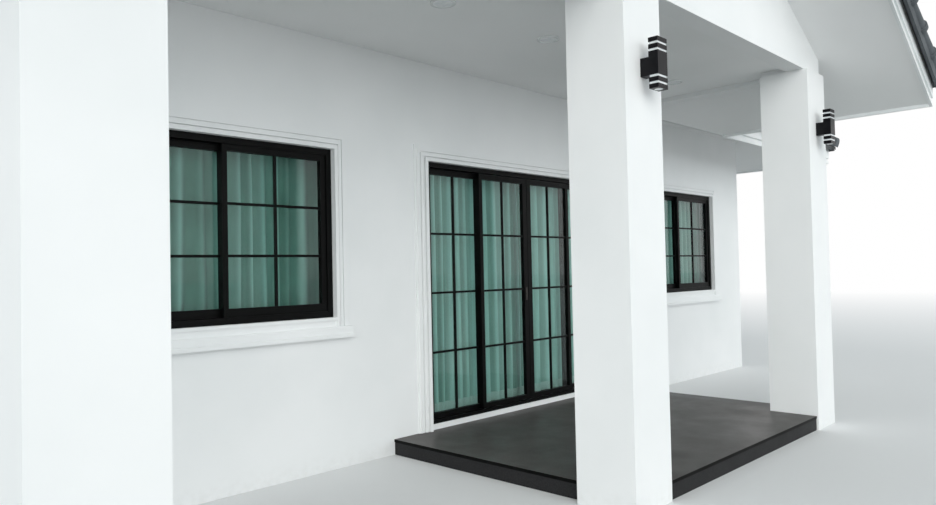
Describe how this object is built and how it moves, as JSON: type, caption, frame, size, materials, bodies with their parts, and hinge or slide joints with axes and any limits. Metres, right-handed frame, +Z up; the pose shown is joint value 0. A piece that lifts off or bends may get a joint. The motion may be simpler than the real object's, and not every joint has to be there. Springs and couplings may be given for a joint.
{
  "type": "single-storey bungalow with a gabled front porch",
  "caption": "White rendered bungalow with a dark tiled hip roof, a columned gable porch over a granite step, black sliding windows and a sliding glazed door",
  "frame": {"origin": "middle of the house's plan, on the ground", "axes": "+Z up, the front with its porch faces -Y, +X to the right seen from the front"},
  "size_m": [11.6028, 12.0834, 5.8997],
  "materials": {
    "black_aluminium": "black powder coat",
    "curtain_cloth": "woven, pale",
    "floor_tile": "glazed floor tile",
    "granite": "honed dark granite",
    "lamp_black": "satin black",
    "lamp_lens": "frosted",
    "lamp_white": "opal acrylic",
    "lock_metal": "satin",
    "painted_board": "matt emulsion on plaster and cement board",
    "painted_fascia": "satin white paint",
    "painted_render": "matt masonry paint on smooth cement render",
    "roof_tile": "charcoal concrete tile",
    "tinted_glass": "clear float glass with a green tint",
    "white_metal": "white enamel"
  },
  "bodies": {
    "root": {"floor_slab": "floor_tile", "door_threshold": "painted_render", "front_wall_left": "painted_render", "front_wall_right": "painted_render", "wall_over_door": "painted_render", "left_wall": "painted_render", "right_wall": "painted_render", "back_wall": "painted_render", "cornice": "painted_render", "room_ceiling": "painted_board", "deck_base": "granite", "deck_top": "granite", "column_left": "painted_render", "column_middle": "painted_render", "column_right": "painted_render", "gable_wall": "painted_render", "porch_side_beams": "painted_render", "porch_ceiling": "painted_board", "main_roof_front": "roof_tile", "main_roof_right": "roof_tile", "main_roof_back": "roof_tile", "main_roof_left": "roof_tile", "porch_roof_left": "roof_tile", "porch_roof_right": "roof_tile", "ridge_tiles": "roof_tile", "verge_tiles": "roof_tile", "main_fascia": "painted_fascia", "porch_fascia": "painted_fascia", "bargeboards": "painted_fascia", "main_soffit": "painted_board", "porch_soffit": "painted_board", "window_frames": "black_aluminium", "window_sashes": "black_aluminium", "window_glass": "tinted_glass", "window_trims": "painted_render", "window_sills": "painted_render", "door_frame": "black_aluminium", "door_fixed_leaves": "black_aluminium", "door_fixed_glass": "tinted_glass", "door_trim": "painted_render", "wall_lamps": "lamp_black", "wall_lamp_rings": "lamp_white", "wall_lamp_lenses": "lamp_lens", "downlight_rims": "white_metal", "downlight_lenses": "lamp_lens", "curtain_rails": "white_metal", "window_curtains": "curtain_cloth", "door_curtains": "curtain_cloth"},
    "door_left": {"door_leaf_left": "black_aluminium", "door_glass_left": "tinted_glass", "door_lock": "lock_metal"},
    "door_right": {"door_leaf_right": "black_aluminium", "door_glass_right": "tinted_glass"}
  },
  "joints": [
    {"name": "left_leaf_slide", "type": "slide", "parent": "root", "child": "door_left", "axis": [-1, 0, 0], "range_m": [0, 0.57]},
    {"name": "right_leaf_slide", "type": "slide", "parent": "root", "child": "door_right", "axis": [1, 0, 0], "range_m": [0, 0.57]}
  ]
}
